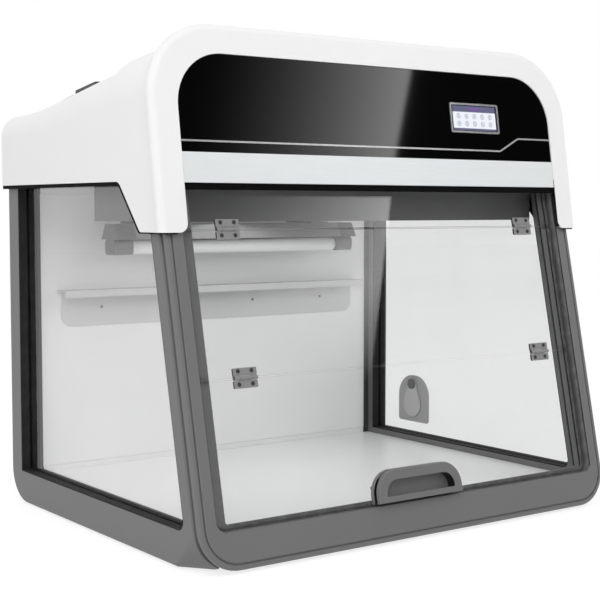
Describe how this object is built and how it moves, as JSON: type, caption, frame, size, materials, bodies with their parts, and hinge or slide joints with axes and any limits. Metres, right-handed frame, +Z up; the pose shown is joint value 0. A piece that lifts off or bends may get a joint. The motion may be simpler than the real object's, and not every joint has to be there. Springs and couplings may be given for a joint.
{
  "type": "bench clean air cabinet",
  "caption": "Bench clean air cabinet: clear chamber in a dark frame, two-pane folding front door, moulded hood with touch screen, filter, blower and lamp.",
  "frame": {"origin": "middle of the footprint, on the surface the feet stand on", "axes": "+X to the right seen from the front, +Y to the back, +Z up; the door faces -Y"},
  "size_m": [0.825, 0.6355, 0.7641],
  "materials": {
    "frame_grey": "satin",
    "shell_white": "gloss",
    "seal_black": "matt",
    "pane_clear": "clear",
    "fascia_black": "mirror gloss",
    "brushed_metal": "brushed",
    "trim_light": "gloss",
    "bezel_silver": "satin",
    "screen_face": "lit",
    "board_green": "matt",
    "carrier_metal": "matt",
    "intake_black": "matt",
    "hinge_grey": "satin",
    "steel_dark": "satin",
    "steel_plain": "satin",
    "handle_grey": "satin",
    "floor_pale": "satin",
    "tray_grey": "satin",
    "wall_pale": "satin",
    "ceiling_pale": "satin",
    "box_grey": "satin",
    "filter_white": "matt",
    "housing_grey": "satin",
    "impeller_black": "matt",
    "lamp_white": "satin",
    "lamp_end_dark": "matt",
    "lamp_glass": "frosted",
    "rack_grey": "satin",
    "port_grey": "satin",
    "port_dark": "satin",
    "inlet_black": "matt",
    "rocker_red": "gloss",
    "foot_rubber": "matt"
  },
  "bodies": {
    "chamber": {"base_tray": "tray_grey", "work_surface": "floor_pale", "rubber_feet": "foot_rubber", "front_frame": "frame_grey", "left_side_frame": "frame_grey", "right_side_frame": "frame_grey", "rear_frame": "frame_grey", "rear_panel": "wall_pale", "rear_panel_screws": "steel_dark", "left_window": "pane_clear", "right_window": "pane_clear", "window_gaskets": "seal_black", "door_gasket": "seal_black", "fixed_top_pane": "pane_clear", "upper_hinge_fixed_leaves": "hinge_grey", "upper_hinge_pins": "steel_dark", "fixed_hinge_screws": "steel_dark", "hood_shell": "shell_white", "hood_seal": "seal_black", "sill_seal": "seal_black", "fascia_carrier": "carrier_metal", "fascia_panel": "fascia_black", "metal_strip": "brushed_metal", "trim_line": "trim_light", "screen_bezel": "bezel_silver", "touch_screen": "screen_face", "control_board": "board_green", "intake_caps": "intake_black", "hood_brackets": "steel_plain", "hood_screws": "steel_dark", "ceiling_plate": "ceiling_pale", "filter_box": "box_grey", "fine_filter": "filter_white", "blower_housing": "housing_grey", "blower_motor": "steel_plain", "prefilter": "filter_white", "lamp_reflector": "lamp_white", "lamp_holders": "lamp_end_dark", "lamp_tube": "lamp_glass", "lamp_brackets": "steel_plain", "lamp_ballast": "lamp_white", "pipette_rack": "rack_grey", "rack_screws": "steel_dark", "port_plate": "port_grey", "port_pin": "port_dark", "mains_inlet": "inlet_black", "switch_body": "inlet_black"},
    "middle_door": {"middle_pane": "pane_clear", "upper_hinge_moving_leaves": "hinge_grey", "lower_hinge_upper_leaves": "hinge_grey", "lower_hinge_pins": "steel_dark", "middle_hinge_screws": "steel_dark"},
    "lower_door": {"lower_pane": "pane_clear", "lower_hinge_lower_leaves": "hinge_grey", "lower_door_screws": "steel_dark", "door_handle": "handle_grey"},
    "fan": {"fan_impeller": "impeller_black", "fan_shaft": "steel_plain"},
    "flap": {"port_flap": "port_grey"},
    "rocker": {"switch_rocker": "rocker_red"}
  },
  "joints": [
    {"name": "upper_door_hinge", "type": "hinge", "parent": "chamber", "child": "middle_door", "pos_m": [0, -0.21425, 0.471], "axis": [-1, 0, 0], "range_deg": [0, 95]},
    {"name": "lower_door_hinge", "type": "hinge", "parent": "middle_door", "child": "lower_door", "pos_m": [0, -0.25868, 0.262], "axis": [-1, 0, 0], "range_deg": [0, 145]},
    {"name": "fan_spin", "type": "hinge", "parent": "chamber", "child": "fan", "pos_m": [0, -0.051, 0.6], "axis": [0, 0, 1], "continuous": true},
    {"name": "port_flap_pivot", "type": "hinge", "parent": "chamber", "child": "flap", "pos_m": [0.3747, 0.157, 0.157], "axis": [1, 0, 0], "range_deg": [-110, 110]},
    {"name": "power_rocker", "type": "hinge", "parent": "chamber", "child": "rocker", "pos_m": [0.284, 0.3115, 0.616], "axis": [1, 0, 0], "range_deg": [0, 16]}
  ]
}
